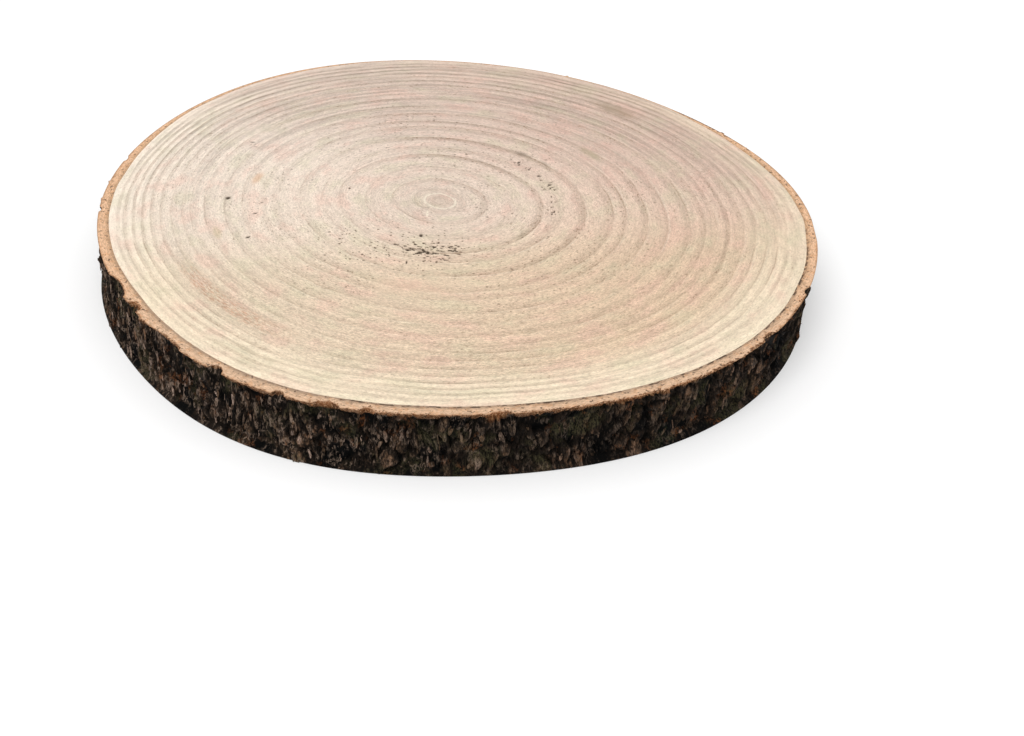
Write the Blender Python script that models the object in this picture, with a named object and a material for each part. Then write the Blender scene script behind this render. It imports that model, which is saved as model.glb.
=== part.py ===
"""A slice sawn straight across a tree trunk, about 280 mm wide and 27 mm thick.

Pale wood, tan inner bark and dark outer bark grew together, so the slice is one closed solid.
It lies on its lower cut face, with +Z up and the origin in the middle of that face.
Its outline is a circle made uneven by a few broad lobes. The wall between the two cut faces is
the outer bark: upright plates parted by fissures, with bites broken out along the top edge.
"""

import math

import bmesh
import bpy
from mathutils import Vector, noise

NAME = "wood_slice"

# Driving dimensions, in metres
TOP_RADIUS = 0.1403
FOOT_RADIUS = 0.1391
THICKNESS = 0.0268
TOP_CENTRE_X = 0.0007
FOOT_CENTRE_X = -0.0019
PITH = (-0.0052, 0.0088)
INNER_BARK_WIDTH = 0.0055

# The outline's lobes: how many swell round the rim, their height, and the degrees where one peaks
RIM_LOBES = (
    (1, 0.0027, 223),
    (2, 0.0071, 138),
    (3, 0.0021, 114),
    (4, 0.0006, 53),
    (5, 0.0004, 29),
    (6, 0.0005, 5),
)

# Bites out of the top edge: the degrees round the rim, the half width and the depth
BITES = (
    (162, 0.0020, 0.0008),
    (179, 0.0020, 0.0010),
    (204, 0.0085, 0.0022),
    (211, 0.0040, 0.0030),
    (222, 0.0100, 0.0014),
    (234, 0.0035, 0.0030),
    (245.5, 0.0025, 0.0024),
    (253, 0.0050, 0.0024),
    (259, 0.0025, 0.0020),
    (278, 0.0040, 0.0014),
    (322, 0.0035, 0.0020),
    (336, 0.0025, 0.0014),
)
BITE_REACH = 0.009
DEEPEST_CUT = 0.0040

# The bark: its plates, the fissures between them, and the slow wander of both
PLATE_WIDTH = 0.0105
PLATE_HEIGHT = 0.0260
PLATE_STEP = 0.0014
PLATE_MIX = 3.0
FISSURE_DEPTH = 0.0026
FISSURE_SHARE = 0.42
WANDER_SIZE = 0.020
WANDER = 0.004
WANDER_SEED = 7
BARK_SEED = 7.3

# The fineness of the mesh, and the angle past which an edge is shaded sharp
SEGMENTS = 400
ROWS = 8
SHARP_DEGREES = 40

# Each finish: name, base colour, roughness. Faces are wood unless they are put in a bark slot.
WOOD = ("pale_wood", (0.75, 0.60, 0.46), 0.70)
INNER_BARK = ("inner_bark", (0.68, 0.43, 0.26), 0.75)
OUTER_BARK = ("outer_bark", (0.035, 0.024, 0.017), 0.90)
INNER_BARK_SLOT = 1
OUTER_BARK_SLOT = 2


def clear_scene():
    for obj in list(bpy.data.objects):
        bpy.data.objects.remove(obj)


def finish_material(finish):
    name, colour, roughness = finish
    material = bpy.data.materials.new(name)
    material.use_nodes = True
    shader = material.node_tree.nodes["Principled BSDF"]
    shader.inputs["Base Color"].default_value = (*colour, 1)
    shader.inputs["Roughness"].default_value = roughness
    shader.inputs["Metallic"].default_value = 0
    return material


def lobes_at(turn):
    """How far the outline stands out of its circle at this turn, in radians from +X."""
    return sum(
        height * math.cos(count * (turn - math.radians(peak)))
        for count, height, peak in RIM_LOBES
    )


def bites_at(turn):
    """How deep the top edge is bitten in at this turn."""
    depth = 0.0
    for degrees, half_width, deepest in BITES:
        away = (turn - math.radians(degrees) + math.pi) % math.tau - math.pi
        share = min(1.0, abs(away) * TOP_RADIUS / half_width)
        depth = max(depth, deepest * math.sqrt(1 - share * share))
    return depth


def bark_at(turn, height):
    """How far the bark's plates and fissures stand out of the wall, or in where negative."""
    across = Vector((math.cos(turn), math.sin(turn), 0)) * TOP_RADIUS
    place = across + Vector((0, 0, height))
    wander = noise.noise_vector(place / WANDER_SIZE + Vector((0, 0, BARK_SEED)))
    place = place + wander * WANDER
    cell = Vector((place.x / PLATE_WIDTH, place.y / PLATE_WIDTH, place.z / PLATE_HEIGHT))
    distances, centres = noise.voronoi(cell + Vector((0, 0, BARK_SEED)))
    plate = noise.cell(centres[0] * PLATE_MIX) - 0.5
    gap = min(1.0, (distances[1] - distances[0]) / FISSURE_SHARE)
    return plate * PLATE_STEP - FISSURE_DEPTH * (1 - gap) ** 2


def centre_x_at(height):
    """Where the outline's centre lies along X, because the trunk leaned a little."""
    return FOOT_CENTRE_X + (TOP_CENTRE_X - FOOT_CENTRE_X) * height / THICKNESS


def slice_point(point):
    """Where a point of the plain cylinder lies on the slice, with relief if it is on the wall."""
    turn = math.atan2(point.y, point.x)
    below_top = THICKNESS - point.z
    drawn_radius = math.hypot(point.x, point.y)
    taper = (TOP_RADIUS - FOOT_RADIUS) * below_top / THICKNESS
    radius = drawn_radius + lobes_at(turn) - taper
    if drawn_radius > TOP_RADIUS - INNER_BARK_WIDTH / 2:
        bite = bites_at(turn) * math.sqrt(max(0.0, 1 - below_top / BITE_REACH))
        radius += max(-DEEPEST_CUT, bark_at(turn, point.z) - bite)
    x = centre_x_at(point.z) + radius * math.cos(turn)
    return Vector((x, radius * math.sin(turn), point.z))


def plain_cylinder():
    """A cylinder that stands on the ground, with its wall cut into rows."""
    bm = bmesh.new()
    bmesh.ops.create_cone(
        bm,
        cap_ends=True,
        segments=SEGMENTS,
        radius1=TOP_RADIUS,
        radius2=TOP_RADIUS,
        depth=THICKNESS,
    )
    bmesh.ops.translate(bm, vec=(0, 0, THICKNESS / 2), verts=bm.verts)
    uprights = [edge for edge in bm.edges if edge.verts[0].co.z != edge.verts[1].co.z]
    bmesh.ops.subdivide_edges(bm, edges=uprights, cuts=ROWS - 1, use_grid_fill=True)
    return bm


def mark_bark(bm):
    """Gives both cut faces a ring of inner bark, and the wall its outer bark."""
    caps = [face for face in bm.faces if len(face.verts) == SEGMENTS]
    for face in bm.faces:
        face.material_index = 0 if face in caps else OUTER_BARK_SLOT
    for cap in caps:
        ring = bmesh.ops.inset_region(bm, faces=[cap], thickness=INNER_BARK_WIDTH)
        for quad in ring["faces"]:
            quad.material_index = INNER_BARK_SLOT


def fan_from_pith(bm):
    """Divides the wood of both cut faces into triangles that meet at the pith."""
    caps = [face for face in bm.faces if len(face.verts) == SEGMENTS]
    for hub in bmesh.ops.poke(bm, faces=caps)["verts"]:
        hub.co.x = PITH[0] + centre_x_at(hub.co.z) - TOP_CENTRE_X
        hub.co.y = PITH[1]


def slice_mesh():
    """The slice's mesh. The seed is set first, because the wander differs each time without it."""
    noise.seed_set(WANDER_SEED)
    bm = plain_cylinder()
    mark_bark(bm)
    for vert in bm.verts:
        vert.co = slice_point(vert.co)
    fan_from_pith(bm)
    bmesh.ops.recalc_face_normals(bm, faces=bm.faces)
    mesh = bpy.data.meshes.new(NAME)
    bm.to_mesh(mesh)
    bm.free()
    mesh.shade_smooth()
    mesh.set_sharp_from_angle(angle=math.radians(SHARP_DEGREES))
    return mesh


def build():
    clear_scene()
    collection = bpy.data.collections.new("wood slice")
    bpy.context.scene.collection.children.link(collection)
    mesh = slice_mesh()
    for finish in (WOOD, INNER_BARK, OUTER_BARK):
        mesh.materials.append(finish_material(finish))
    collection.objects.link(bpy.data.objects.new(NAME, mesh))


build()
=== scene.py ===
# %% [markdown]
# # A slice sawn across a tree trunk
#
# The imported part gives the size and the place of everything here. It is one plain solid: an
# uneven round about 28 cm wide and 27 mm thick, with coarse bark on its wall. This lesson lays
# a finer skin over that solid, in the order that the trunk grew: the wood with its rings, the tan
# inner bark round it, and the dark outer bark. Some loose scales and torn shreds come last.
#
# The frame is loaded first, and the box that it fills is kept.

# %% Load the imported part
import math
import random

import bmesh
import bpy
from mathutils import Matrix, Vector, kdtree, noise


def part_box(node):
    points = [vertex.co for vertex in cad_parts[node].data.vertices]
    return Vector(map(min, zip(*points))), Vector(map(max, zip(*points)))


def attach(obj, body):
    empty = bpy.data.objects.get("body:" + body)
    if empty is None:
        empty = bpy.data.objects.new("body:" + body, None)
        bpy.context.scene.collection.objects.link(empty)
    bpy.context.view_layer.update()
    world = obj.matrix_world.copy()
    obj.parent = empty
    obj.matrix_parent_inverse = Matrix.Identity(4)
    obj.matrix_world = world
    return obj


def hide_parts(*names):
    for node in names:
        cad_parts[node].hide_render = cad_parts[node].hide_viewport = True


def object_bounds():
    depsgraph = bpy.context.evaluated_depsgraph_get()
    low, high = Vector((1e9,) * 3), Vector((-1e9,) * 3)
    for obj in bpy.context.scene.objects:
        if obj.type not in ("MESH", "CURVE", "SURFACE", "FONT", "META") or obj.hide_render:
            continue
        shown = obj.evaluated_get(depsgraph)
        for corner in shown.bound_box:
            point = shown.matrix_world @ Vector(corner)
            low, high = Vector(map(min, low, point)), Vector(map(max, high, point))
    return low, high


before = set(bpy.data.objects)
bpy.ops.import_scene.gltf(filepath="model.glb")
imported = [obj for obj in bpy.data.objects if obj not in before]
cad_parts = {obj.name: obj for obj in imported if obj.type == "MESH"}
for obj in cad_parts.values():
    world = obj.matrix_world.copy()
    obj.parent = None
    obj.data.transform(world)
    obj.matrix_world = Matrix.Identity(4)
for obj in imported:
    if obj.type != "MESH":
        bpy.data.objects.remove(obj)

cad_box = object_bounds()
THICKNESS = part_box("wood_slice")[1].z
print("The part is", round(THICKNESS * 1000, 1), "mm thick")

# %% [markdown]
# ## The view
#
# A photograph of a thing this size is usually taken from about an arm's length. The camera looks
# along +Y and down at 34 degrees. A camera points down its own -Z axis, so tilting it up from
# straight down by 90 degrees less the elevation gives that view.

# %% The camera
AIM = Vector((0.0236, -0.1105, THICKNESS))
DISTANCE = 0.700
ELEVATION = math.radians(34.04)
LENS_MM = 70.27
SENSOR_MM = 36


def add_camera():
    lens = bpy.data.cameras.new("camera")
    lens.lens = LENS_MM
    lens.sensor_width = SENSOR_MM
    lens.clip_start = 0.01
    camera = bpy.data.objects.new("camera", lens)
    camera.location = AIM + DISTANCE * Vector((0, -math.cos(ELEVATION), math.sin(ELEVATION)))
    camera.rotation_euler = (math.pi / 2 - ELEVATION, 0, 0)
    bpy.context.scene.collection.objects.link(camera)
    bpy.context.scene.camera = camera
    return camera


print("Camera at", add_camera().location)

# %% [markdown]
# ## Floor and light
#
# The slice lies on white paper under very soft light. A white world lights everything evenly and
# leaves a faint shadow where the slice touches the paper. One broad lamp, high in front and a
# little to the left, gives the bark its relief. The paper glows a little itself, which keeps the
# shadow pale. Colours are meant to reach the picture as they are, so the plain view transform
# is chosen, which doesn't bend them.

# %% Paper, world and lamp
PAPER_SIZE = 30.0
PAPER_WHITE = 0.72
PAPER_GLOW = 0.28
PAPER_DROP = 0.0002
WORLD_STRENGTH = 0.875
LAMP_PLACE = Vector((-0.22, -0.80, 1.5))
LAMP_SIZE = 1.1
LAMP_POWER = 11


def add_paper():
    bm = bmesh.new()
    bmesh.ops.create_grid(bm, x_segments=1, y_segments=1, size=PAPER_SIZE / 2)
    bmesh.ops.translate(bm, vec=(0, 0, -PAPER_DROP), verts=bm.verts)
    mesh = bpy.data.meshes.new("paper")
    bm.to_mesh(mesh)
    bm.free()
    material = bpy.data.materials.new("white_paper")
    material.use_nodes = True
    shader = material.node_tree.nodes["Principled BSDF"]
    shader.inputs["Base Color"].default_value = (PAPER_WHITE, PAPER_WHITE, PAPER_WHITE, 1)
    shader.inputs["Roughness"].default_value = 1.0
    shader.inputs["Specular IOR Level"].default_value = 0.0
    shader.inputs["Emission Color"].default_value = (1, 1, 1, 1)
    shader.inputs["Emission Strength"].default_value = PAPER_GLOW
    mesh.materials.append(material)
    paper = bpy.data.objects.new("paper", mesh)
    bpy.context.scene.collection.objects.link(paper)


def add_light():
    world = bpy.data.worlds.new("white_studio")
    world.use_nodes = True
    background = world.node_tree.nodes["Background"]
    background.inputs["Color"].default_value = (1, 1, 1, 1)
    background.inputs["Strength"].default_value = WORLD_STRENGTH
    bpy.context.scene.world = world
    light = bpy.data.lights.new("broad_lamp", "AREA")
    light.shape = "DISK"
    light.size = LAMP_SIZE
    light.energy = LAMP_POWER
    lamp = bpy.data.objects.new("broad_lamp", light)
    lamp.location = LAMP_PLACE
    lamp.rotation_euler = (-LAMP_PLACE).to_track_quat("-Z", "Y").to_euler()
    bpy.context.scene.collection.objects.link(lamp)


add_paper()
add_light()
bpy.context.scene.view_settings.view_transform = "Standard"
print("Paper, world and one lamp are in place")

# %% [markdown]
# ## Where the trunk's edge lies
#
# The outline is a circle made uneven by a few broad lobes, each a cosine that goes a whole number
# of times round the trunk. Bites are broken out along its top edge, and the bark's plates and
# fissures come from a cell pattern. These values and formulas are the solid's own, in metres, so
# every new surface lies where the solid's does. The width of the bark on the cut face comes next:
# it is a few millimetres nearly all round, and very thin at the back right.

# %% The outline
TOP_RADIUS = 0.1403
FOOT_RADIUS = 0.1391
TOP_CENTRE_X = 0.0007
FOOT_CENTRE_X = -0.0019
PITH = (-0.0052, 0.0088)
RIM_LOBES = (
    (1, 0.0027, 223),
    (2, 0.0071, 138),
    (3, 0.0021, 114),
    (4, 0.0006, 53),
    (5, 0.0004, 29),
    (6, 0.0005, 5),
)


def outline_at(turn, height):
    """The smooth radius of the trunk at this turn, in radians from +X, and this height."""
    lobes = sum(size * math.cos(count * (turn - math.radians(peak))) for count, size, peak in RIM_LOBES)
    return FOOT_RADIUS + (TOP_RADIUS - FOOT_RADIUS) * height / THICKNESS + lobes


def centre_x_at(height):
    """Where the outline's centre lies along X, because the trunk leaned a little."""
    return FOOT_CENTRE_X + (TOP_CENTRE_X - FOOT_CENTRE_X) * height / THICKNESS


def rim_point(turn, radius, height):
    """The point at this radius from the outline's centre."""
    return Vector((centre_x_at(height) + radius * math.cos(turn), radius * math.sin(turn), height))


BAND_WIDTHS = (
    (0, 0.0038),
    (20, 0.0035),
    (36, 0.0022),
    (46, 0.0009),
    (100, 0.0009),
    (122, 0.0018),
    (140, 0.0024),
    (168, 0.0045),
    (190, 0.0051),
    (210, 0.0063),
    (240, 0.0063),
    (270, 0.0058),
    (300, 0.0058),
    (330, 0.0053),
    (348, 0.0047),
)


def along_rim(table, turn):
    """Reads a table of degrees and values that runs once round the rim, easing from row to row."""
    degrees = math.degrees(turn) % 360
    rows = table + ((360, table[0][1]),)
    for (start, before), (end, after) in zip(rows, rows[1:]):
        if start <= degrees <= end:
            share = (degrees - start) / (end - start)
            return before + (after - before) * share * share * (3 - 2 * share)
    return table[0][1]


print("Outline", round(2000 * outline_at(0, THICKNESS)), "mm across at its right-hand end")

# %% [markdown]
# ## The bark's relief
#
# The bites repeat the solid's, and the coarse plates lie where the solid's do. On real bark each
# plate is itself made of thin scales, broken across and along, so a second and a third cell
# pattern are laid over the first, each smaller and shallower, and fine noise roughens the rest.
# One function gives how far the wall stands out at a place, and what the paint will need to know
# there: how deep in a fissure the place is and which scale it belongs to. The plates wander, by a
# noise that Blender starts anew in each session, so its seed is set first, to the solid's own.

# %% Relief of the wall
BITES = (
    (162, 0.0020, 0.0008),
    (179, 0.0020, 0.0010),
    (204, 0.0085, 0.0022),
    (211, 0.0040, 0.0030),
    (222, 0.0100, 0.0014),
    (234, 0.0035, 0.0030),
    (245.5, 0.0025, 0.0024),
    (253, 0.0050, 0.0024),
    (259, 0.0025, 0.0020),
    (278, 0.0040, 0.0014),
    (322, 0.0035, 0.0020),
    (336, 0.0025, 0.0014),
)
BITE_REACH = 0.009
DEEPEST_CUT = 0.0040
SHALLOW_CUT = 0.0004
CUT_SLOPE = 0.0030
HELD_SHALLOW = 0.0015
THIN_BAND = 0.0035
FURTHEST_OUT = 0.0004
WANDER_SIZE = 0.020
WANDER = 0.004
SMALL_WANDER_SIZE = 0.006
SMALL_WANDER = 0.0018
WANDER_SEED = 7
BARK_SEED = 7.3
DRAW_MIX = 3.0

# Each pattern's cells: their width, their height, and the share of a cell that its gap takes up
PLATE_CELLS = (0.0105, 0.0260, 0.42)
SCALE_CELLS = (0.0048, 0.0115, 0.30)
FLAKE_CELLS = (0.0016, 0.0066, 0.25)
FLAKE_SHIFT = Vector((0, 0, 0.5))

# How far plates, scales and flakes differ in height, how deep their gaps are, and how they tilt
PLATE_STEP = 0.00063
PLATE_GAP = 0.00208
SCALE_STEP = 0.0009
SCALE_GAP = 0.0011
SCALE_TILT = 0.0008
FLAKE_STEP = 0.0007
FLAKE_GAP = 0.0005
FLAKE_TILT = 0.0006
ROUGHNESS_SIZE = 0.0012
ROUGHNESS = 0.0004
noise.seed_set(WANDER_SEED)


def bites_at(turn, height):
    """How deep the top edge is bitten in at this turn, fading out down the wall."""
    depth = 0.0
    for degrees, half_width, deepest in BITES:
        away = (turn - math.radians(degrees) + math.pi) % math.tau - math.pi
        share = min(1.0, abs(away) * TOP_RADIUS / half_width)
        depth = max(depth, deepest * math.sqrt(1 - share * share))
    return depth * math.sqrt(max(0.0, 1 - (THICKNESS - height) / BITE_REACH))


def cells_at(place, width, height, gap_share):
    """A cell pattern at a place: 0 in a gap to 1 in a cell, the cell's draw, and the height in it."""
    cell = Vector((place.x / width, place.y / width, place.z / height + BARK_SEED))
    distances, centres = noise.voronoi(cell)
    inside = min(1.0, (distances[1] - distances[0]) / gap_share)
    return inside, noise.cell(centres[0] * DRAW_MIX), cell.z - centres[0].z


def wander_at(place):
    return noise.noise_vector(place / WANDER_SIZE + Vector((0, 0, BARK_SEED))) * WANDER


def deepest_at(turn, height):
    """How deep a fissure may be: shallow at the cut faces, and for longer where the bark is thin."""
    held = HELD_SHALLOW * min(1.0, max(0.0, 1 - along_rim(BAND_WIDTHS, turn) / THIN_BAND) * 2)
    from_cut = max(0.0, min(height, THICKNESS - height) - held)
    return SHALLOW_CUT + (DEEPEST_CUT - SHALLOW_CUT) * min(1.0, from_cut / CUT_SLOPE)


def relief_at(turn, height):
    """How far the bark stands out here, how open it is, and its scale's and its flake's draws."""
    across = Vector((math.cos(turn), math.sin(turn), 0)) * TOP_RADIUS
    place = across + Vector((0, 0, height))
    place = place + wander_at(place)
    plate, plate_draw, _ = cells_at(place, *PLATE_CELLS)
    place = place + noise.noise_vector(place / SMALL_WANDER_SIZE) * SMALL_WANDER
    scale, scale_draw, up = cells_at(place, *SCALE_CELLS)
    flake, flake_draw, flake_up = cells_at(place + FLAKE_SHIFT, *FLAKE_CELLS)
    out = (plate_draw - 0.5) * PLATE_STEP - PLATE_GAP * (1 - plate) ** 3
    out += (scale_draw - 0.65) * SCALE_STEP - SCALE_GAP * (1 - scale) ** 2 + SCALE_TILT * up
    out += (flake_draw - 0.6) * FLAKE_STEP - FLAKE_GAP * (1 - flake) ** 2 + FLAKE_TILT * flake_up
    out += ROUGHNESS * noise.noise(Vector((place.x, place.y, place.z * 0.35)) / ROUGHNESS_SIZE)
    out = max(-deepest_at(turn, height), min(FURTHEST_OUT, out)) - bites_at(turn, height)
    openness = min(plate ** 0.35, scale ** 0.5) * (0.55 + 0.45 * flake)
    return max(-DEEPEST_CUT, out), openness, scale_draw, flake_draw


print("Relief at the front:", round(relief_at(-math.pi / 2, 0.01)[0] * 1000, 2), "mm")

# %% [markdown]
# ## How the trunk grew
#
# Rings are round at the pith and take the trunk's own outline at the bark. In between they are a
# little oval, and they crowd to the side where the trunk grew least. So each part of
# the outline's unevenness grows with its own power of the distance: the oval soonest, the shift of
# the pith later, and the small lobes last of all.

# %% From the pith to the bark
WOOD_STEPS = 480
GROWTH_REACH = 0.1343
OVAL = (0.0074, 137, 0.7)
SHIFT = (0.0109, 288, 2.5)
LOBES_POWER = 6
FOOT_BAND = 0.0014
WOBBLE = 0.0003
WOBBLES_ROUND = 9
REACH_TRIES = 12


def cambium_radius(turn, height):
    """The radius, from the outline's centre, where wood ends and inner bark begins."""
    wobble = WOBBLE * noise.noise(Vector((math.cos(turn), math.sin(turn), height)) * WOBBLES_ROUND)
    band = along_rim(BAND_WIDTHS, turn) + FOOT_BAND * (1 - height / THICKNESS)
    return outline_at(turn, height) - band + wobble


def pith_at(height):
    return Vector((PITH[0] + centre_x_at(height) - TOP_CENTRE_X, PITH[1], height))


def reach_from_pith(turn, height):
    """How far the wood reaches from the pith at this turn round the pith, found in a few tries."""
    pith = pith_at(height)
    reach = TOP_RADIUS
    for _ in range(REACH_TRIES):
        x = pith.x + reach * math.cos(turn) - centre_x_at(height)
        y = pith.y + reach * math.sin(turn)
        reach += cambium_radius(math.atan2(y, x), height) - math.hypot(x, y)
    return reach


def ring_distance(turn, growth, reach):
    """How far from the pith a ring of this mean radius lies at this turn."""
    share = growth / GROWTH_REACH
    oval = OVAL[0] * math.cos(2 * (turn - math.radians(OVAL[1])))
    shift = SHIFT[0] * math.cos(turn - math.radians(SHIFT[1]))
    rest = reach - GROWTH_REACH - oval - shift
    return growth + oval * share ** OVAL[2] + shift * share ** SHIFT[2] + rest * share ** LOBES_POWER


print("The wood reaches", round(1000 * reach_from_pith(0, THICKNESS)), "mm to the right of the pith")

# %% [markdown]
# ## Helpers that make a piece
#
# Every skin here runs once round the trunk. Sweeping a profile round with the spin operator would
# do, but it is slow past a thousand steps. So a flat grid is rolled up instead: each of its
# columns becomes a turn round the trunk, and each row a point of the profile. The first and last
# columns then lie on each other, and merging them closes the seam.

# %% Roll up a grid and finish a piece
SHARP_ANGLE = math.radians(50)


def rolled(profile, steps, closed):
    """A grid rolled once round, with its rows at the profile's (radius, height) points."""
    bm = bmesh.new()
    points = profile + profile[:1] if closed else profile
    bmesh.ops.create_grid(bm, x_segments=steps, y_segments=len(points) - 1, size=0.5)
    for vert in bm.verts:
        turn = round((vert.co.x + 0.5) * steps) % steps * math.tau / steps
        radius, height = points[round((vert.co.y + 0.5) * (len(points) - 1))]
        vert.co = (radius * math.cos(turn), radius * math.sin(turn), height)
    bmesh.ops.remove_doubles(bm, verts=bm.verts, dist=1e-7)
    return bm


def number_layers(bm, *names):
    """A number on each vertex under each of these names, for a finish to read."""
    return [bm.verts.layers.float.new(name) for name in names]


def keep_in_box(place):
    """The place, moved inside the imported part's box if it has left it."""
    low, high = cad_box
    return Vector(min(max(value, least), most) for value, least, most in zip(place, low, high))


def finished_piece(bm, name, material):
    for vert in bm.verts:
        vert.co = keep_in_box(vert.co)
    mesh = bpy.data.meshes.new(name)
    bm.to_mesh(mesh)
    bm.free()
    mesh.materials.append(material)
    mesh.shade_smooth()
    mesh.set_sharp_from_angle(angle=SHARP_ANGLE)
    piece = bpy.data.objects.new(name, mesh)
    bpy.context.scene.collection.objects.link(piece)
    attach(piece, "root")
    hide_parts("wood_slice")
    triangles = sum(len(polygon.vertices) - 2 for polygon in mesh.polygons)
    print(name, "has", triangles, "triangles")
    return piece


# %% [markdown]
# ## Helpers that make a finish
#
# A finish is a tree of nodes that ends in one shader. Written out node by node such a tree is
# long, so short helpers name what it is made of: a sum, a blend of two colours, a soft step
# between two values, noise at a place, a number stored on the mesh, and a few more.

# %% Short words for nodes
def new_finish(name, roughness, specular):
    material = bpy.data.materials.new(name)
    material.use_nodes = True
    shader = material.node_tree.nodes["Principled BSDF"]
    shader.inputs["Roughness"].default_value = roughness
    shader.inputs["Specular IOR Level"].default_value = specular
    return material, material.node_tree, shader


def put(tree, socket, value):
    """Links a socket to another, or sets its value."""
    if isinstance(value, bpy.types.NodeSocket):
        tree.links.new(value, socket)
    else:
        socket.default_value = value


def sums(tree, operation, *values):
    """A Math node's result."""
    node = tree.nodes.new("ShaderNodeMath")
    node.operation = operation
    for socket, value in zip(node.inputs, values):
        put(tree, socket, value)
    return node.outputs[0]


def plus(tree, first, second):
    return sums(tree, "ADD", first, second)


def minus(tree, first, second):
    return sums(tree, "SUBTRACT", first, second)


def times(tree, first, second):
    return sums(tree, "MULTIPLY", first, second)


def blended(tree, share, first, second):
    """A colour between two colours."""
    node = tree.nodes.new("ShaderNodeMix")
    node.data_type = "RGBA"
    for index, value in ((0, share), (6, first), (7, second)):
        if isinstance(value, tuple):
            value = (*value, 1)
        put(tree, node.inputs[index], value)
    return node.outputs[2]


def step(tree, value, start, end, low=0.0, high=1.0):
    """Eases from low at start to high at end."""
    node = tree.nodes.new("ShaderNodeMapRange")
    node.interpolation_type = "SMOOTHSTEP"
    for socket, setting in zip(node.inputs, (value, start, end, low, high)):
        put(tree, socket, setting)
    return node.outputs[0]


def speckle(tree, place, scale, detail=3.0, rough=0.6, warp=0.0):
    """Noise from about 0 to 1 at a place."""
    node = tree.nodes.new("ShaderNodeTexNoise")
    put(tree, node.inputs["Vector"], place)
    node.inputs["Scale"].default_value = scale
    node.inputs["Detail"].default_value = detail
    node.inputs["Roughness"].default_value = rough
    node.inputs["Distortion"].default_value = warp
    return node.outputs[0]


def shaded(tree, tint, amount):
    """The tint, darker where the amount is under 1 and lighter where it is over."""
    node = tree.nodes.new("ShaderNodeVectorMath")
    node.operation = "SCALE"
    tree.links.new(tint, node.inputs[0])
    put(tree, node.inputs["Scale"], amount)
    return node.outputs[0]


def stored(tree, name):
    """A number that was stored on the mesh's vertices."""
    node = tree.nodes.new("ShaderNodeAttribute")
    node.attribute_name = name
    return node.outputs["Fac"]


def object_place(tree):
    return tree.nodes.new("ShaderNodeTexCoord").outputs["Object"]


def split(tree, vector):
    node = tree.nodes.new("ShaderNodeSeparateXYZ")
    tree.links.new(vector, node.inputs[0])
    return node.outputs


def joined(tree, x, y, z):
    node = tree.nodes.new("ShaderNodeCombineXYZ")
    for socket, value in zip(node.inputs, (x, y, z)):
        put(tree, socket, value)
    return node.outputs[0]


def bump(tree, shader, height, distance):
    node = tree.nodes.new("ShaderNodeBump")
    node.inputs["Strength"].default_value = 1.0
    node.inputs["Distance"].default_value = distance
    tree.links.new(height, node.inputs["Height"])
    tree.links.new(node.outputs[0], shader.inputs["Normal"])


def curve_through(tree, value, points, bend="AUTO"):
    """A curve through points, which all lie between 0 and 1 both ways."""
    node = tree.nodes.new("ShaderNodeFloatCurve")
    curve = node.mapping.curves[0]
    curve.points[0].location = points[0]
    curve.points[-1].location = points[-1]
    for across, up in points[1:-1]:
        curve.points.new(across, up)
    for point in curve.points:
        point.handle_type = bend
    node.mapping.update()
    tree.links.new(value, node.inputs["Value"])
    return node.outputs[0]


def spots(tree, place, scale, size, share, strength):
    """Round spots of a size from 0 to 0.5, in this share of the cells of a flat pattern."""
    node = tree.nodes.new("ShaderNodeTexVoronoi")
    node.voronoi_dimensions = "2D"
    tree.links.new(place, node.inputs["Vector"])
    node.inputs["Scale"].default_value = scale
    round_spot = step(tree, node.outputs["Distance"], size, size * 0.4, 0.0, strength)
    chosen = step(tree, split(tree, node.outputs["Color"])[0], 1 - share, 1 - share * 0.8)
    return times(tree, round_spot, chosen)


print("Node helpers are ready")

# %% [markdown]
# ## The rings
#
# Each year's ring ends in a dark line with a pale border on either side. The lines are listed by
# their mean distance from the pith and by how strongly they show on the right and on the left.
# One number is stored on each vertex of the wood, its mean distance from the pith, and the paint
# reads the list as a curve of brightness over that distance. So the lines stay sharp however
# coarse the mesh is, and the mesh is only fine where the pits need it. A second curve gives the
# distance to the nearest line, from which the paint draws each line's thin crisp edge.

# %% Ring lines
RING_LINES = (
    (0.0026, 0.25, 0.25),
    (0.0089, 0.35, 0.20),
    (0.0178, 0.40, 0.36),
    (0.0285, 0.20, 0.20),
    (0.0396, 0.90, 0.25),
    (0.0460, 0.25, 0.15),
    (0.0556, 0.72, 0.25),
    (0.0665, 0.38, 0.33),
    (0.0713, 0.42, 0.24),
    (0.0795, 0.42, 0.25),
    (0.0865, 0.18, 0.20),
    (0.0948, 0.38, 0.28),
    (0.1005, 0.35, 0.20),
    (0.1040, 0.20, 0.35),
    (0.1087, 0.45, 0.25),
    (0.1135, 0.32, 0.42),
    (0.1175, 0.28, 0.34),
    (0.1212, 0.34, 0.52),
    (0.1249, 0.40, 0.66),
    (0.1284, 0.58, 0.58),
    (0.1309, 0.38, 0.42),
)
BORDER = 0.0040
INNER_SHARE = 0.44
OUTER_SHARE = 0.30
BORDER_PALENESS = 0.45
EDGE_SCALE = 40.0
EDGE_JUMP = 0.0002
CIRCLE_GAP = 0.0018
PIT_CIRCLE_GAP = 0.0004
PIT_ZONE = (0.030, 0.0475)


def ring_tones(side):
    """Points of the brightness curve, from the pith to the bark: 0.5 is neutral, 0 darkest."""
    points = [(0.0, 0.5)]
    rims = [0.0] + [line[0] for line in RING_LINES] + [GROWTH_REACH]
    for before, line, after in zip(rims, RING_LINES, rims[2:]):
        radius, strength = line[0], line[side]
        pale = 0.5 + 0.5 * strength * BORDER_PALENESS
        inner = radius - min(BORDER, (radius - before) * INNER_SHARE)
        outer = radius + min(BORDER, (after - radius) * OUTER_SHARE)
        for place, tone in ((inner, pale), (radius, 0.5 - 0.5 * strength), (outer, pale)):
            points.append((place / GROWTH_REACH, tone))
    return points + [(1.0, 0.6)]


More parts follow.
